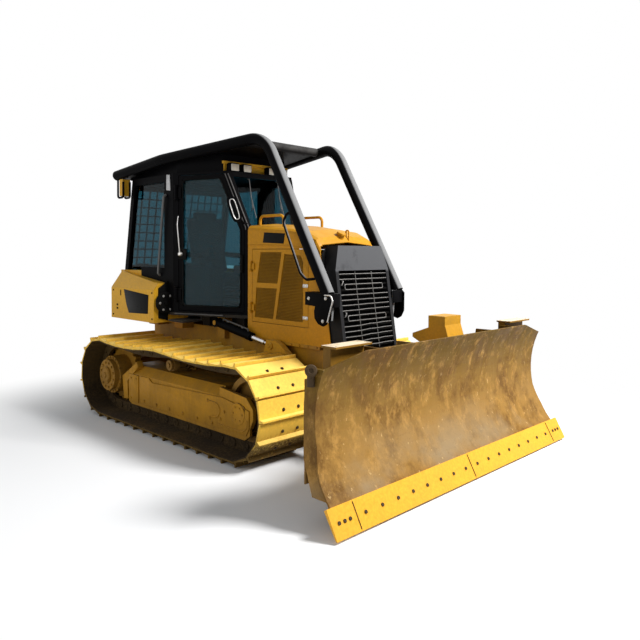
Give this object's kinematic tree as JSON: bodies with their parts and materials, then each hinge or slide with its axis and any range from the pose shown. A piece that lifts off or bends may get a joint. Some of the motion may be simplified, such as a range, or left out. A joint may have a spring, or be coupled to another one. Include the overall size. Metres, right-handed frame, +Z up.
{
  "type": "bulldozer",
  "caption": "Crawler bulldozer with wide tracks, an enclosed cab under brush-guard sweeps and a six-way blade on a C-frame that lifts, angles and tilts.",
  "frame": {"origin": "middle of the bounding box on the ground", "axes": "+X forward to the blade, +Y to the machine's left, +Z up"},
  "size_m": [4.504, 3.28, 2.9589],
  "materials": {
    "yellow_paint": "satin",
    "worn_yellow": "worn",
    "black_paint": "satin",
    "steel": "dull",
    "chrome": "polished",
    "glass": "clear",
    "dark_core": "dull",
    "seat_cloth": "woven",
    "plastic": "matte"
  },
  "bodies": {
    "tractor": {"main_frame": "yellow_paint", "pivot_shaft": "steel", "equalizer_bar": "yellow_paint", "track_frame_right": "yellow_paint", "track_frame_left": "yellow_paint", "track_right": "worn_yellow", "track_left": "worn_yellow", "sprocket_right": "yellow_paint", "sprocket_left": "yellow_paint", "idler_right": "worn_yellow", "idler_left": "worn_yellow", "rollers_right": "worn_yellow", "rollers_left": "worn_yellow", "engine": "dark_core", "radiator_core": "dark_core", "radiator_guard": "black_paint", "grille": "black_paint", "hood": "yellow_paint", "platform": "black_paint", "side_tanks": "yellow_paint", "fuel_tank": "yellow_paint", "cab_frame": "black_paint", "cab_roof": "black_paint", "cab_glass": "glass", "cab_screens": "black_paint", "seat": "seat_cloth", "console": "plastic", "front_lamps": "yellow_paint", "rear_lamps": "yellow_paint", "sweep_right": "black_paint", "sweep_left": "black_paint", "sweep_cross": "black_paint", "handrails": "yellow_paint", "drawbar": "yellow_paint"},
    "door_right": {"cab_door_right": "black_paint", "door_glass_right": "glass"},
    "door_left": {"cab_door_left": "black_paint", "door_glass_left": "glass"},
    "hatch_right": {"engine_door_right": "yellow_paint"},
    "hatch_left": {"engine_door_left": "yellow_paint"},
    "c_frame": {"c_arm_right": "yellow_paint", "c_arm_left": "yellow_paint", "c_nose": "yellow_paint"},
    "lift_cylinders": {"lift_barrels": "black_paint"},
    "lift_pistons": {"lift_rods": "chrome"},
    "angle_cylinder_right": {"angle_barrel_right": "black_paint"},
    "angle_piston_right": {"angle_rod_right": "chrome"},
    "angle_cylinder_left": {"angle_barrel_left": "black_paint"},
    "angle_piston_left": {"angle_rod_left": "chrome"},
    "tower": {"blade_tower": "yellow_paint"},
    "tilt_cylinder": {"tilt_barrel": "black_paint"},
    "tilt_piston": {"tilt_rod": "chrome"},
    "blade": {"moldboard": "worn_yellow", "cutting_edges": "yellow_paint", "mast_brackets": "worn_yellow"}
  },
  "joints": [
    {"name": "lift", "type": "hinge", "parent": "tractor", "child": "c_frame", "pos_m": [-0.132, 0, 0.47], "axis": [0, -1, 0], "range_deg": [-14, 18]},
    {"name": "blade_angle", "type": "hinge", "parent": "c_frame", "child": "tower", "pos_m": [1.678, 0, 0.52], "axis": [0, 0, 1], "range_deg": [-25, 25]},
    {"name": "blade_tilt", "type": "hinge", "parent": "tower", "child": "blade", "pos_m": [1.842, 0, 0.52], "axis": [1, 0, 0], "range_deg": [-7.5, 7.5]},
    {"name": "cab_door_right_hinge", "type": "hinge", "parent": "tractor", "child": "door_right", "pos_m": [-0.9463, -0.69892, 1.9], "axis": [0, 0, -1], "range_deg": [0, 110]},
    {"name": "cab_door_left_hinge", "type": "hinge", "parent": "tractor", "child": "door_left", "pos_m": [-0.9463, 0.69892, 1.9], "axis": [0, 0, 1], "range_deg": [0, 110]},
    {"name": "engine_door_right_hinge", "type": "hinge", "parent": "tractor", "child": "hatch_right", "pos_m": [-0.06, -0.406, 1.48], "axis": [0, 0, -1], "range_deg": [0, 100]},
    {"name": "engine_door_left_hinge", "type": "hinge", "parent": "tractor", "child": "hatch_left", "pos_m": [-0.06, 0.406, 1.48], "axis": [0, 0, 1], "range_deg": [0, 100]},
    {"name": "lift_cylinder_swing", "type": "hinge", "parent": "tractor", "child": "lift_cylinders", "pos_m": [-0.562, 0, 1.07], "axis": [0, -1, 0], "range_deg": [-5.7, 7.33]},
    {"name": "lift_cylinder_stroke", "type": "slide", "parent": "lift_cylinders", "child": "lift_pistons", "axis": [0.9845, 0, -0.1754], "range_m": [-0.16732, 0.13014]},
    {"name": "angle_left_swing", "type": "hinge", "parent": "c_frame", "child": "angle_cylinder_left", "pos_m": [0.968, 0.45, 0.565], "axis": [0, 0, 1], "range_deg": [-2.32, 2.32]},
    {"name": "angle_left_stroke", "type": "slide", "parent": "angle_cylinder_left", "child": "angle_piston_left", "axis": [0.9977, -0.0677, 0], "range_m": [-0.17555, 0.17555]},
    {"name": "angle_right_swing", "type": "hinge", "parent": "c_frame", "child": "angle_cylinder_right", "pos_m": [0.968, -0.45, 0.565], "axis": [0, 0, 1], "range_deg": [-2.32, 2.32]},
    {"name": "angle_right_stroke", "type": "slide", "parent": "angle_cylinder_right", "child": "angle_piston_right", "axis": [0.9977, 0.0677, 0], "range_m": [-0.17555, 0.17555]},
    {"name": "tilt_swing", "type": "hinge", "parent": "tower", "child": "tilt_cylinder", "pos_m": [1.782, 0.12, 0.905], "axis": [1, 0, 0], "range_deg": [-6.01, 6.01]},
    {"name": "tilt_stroke", "type": "slide", "parent": "tilt_cylinder", "child": "tilt_piston", "axis": [0, -1, 0], "range_m": [-0.05139, 0.05139]}
  ],
  "couplings": [
    {"joint": "lift_cylinder_swing", "follows": "lift", "ratio": 0.39898},
    {"joint": "lift_cylinder_stroke", "follows": "lift", "m_per_rad": -0.52215},
    {"joint": "angle_left_swing", "follows": "blade_angle", "ratio": 0.091034},
    {"joint": "angle_left_stroke", "follows": "blade_angle", "m_per_rad": -0.39444},
    {"joint": "angle_right_swing", "follows": "blade_angle", "ratio": 0.091034},
    {"joint": "angle_right_stroke", "follows": "blade_angle", "m_per_rad": 0.39444},
    {"joint": "tilt_swing", "follows": "blade_tilt", "ratio": 0.78538},
    {"joint": "tilt_stroke", "follows": "blade_tilt", "m_per_rad": 0.38487}
  ]
}
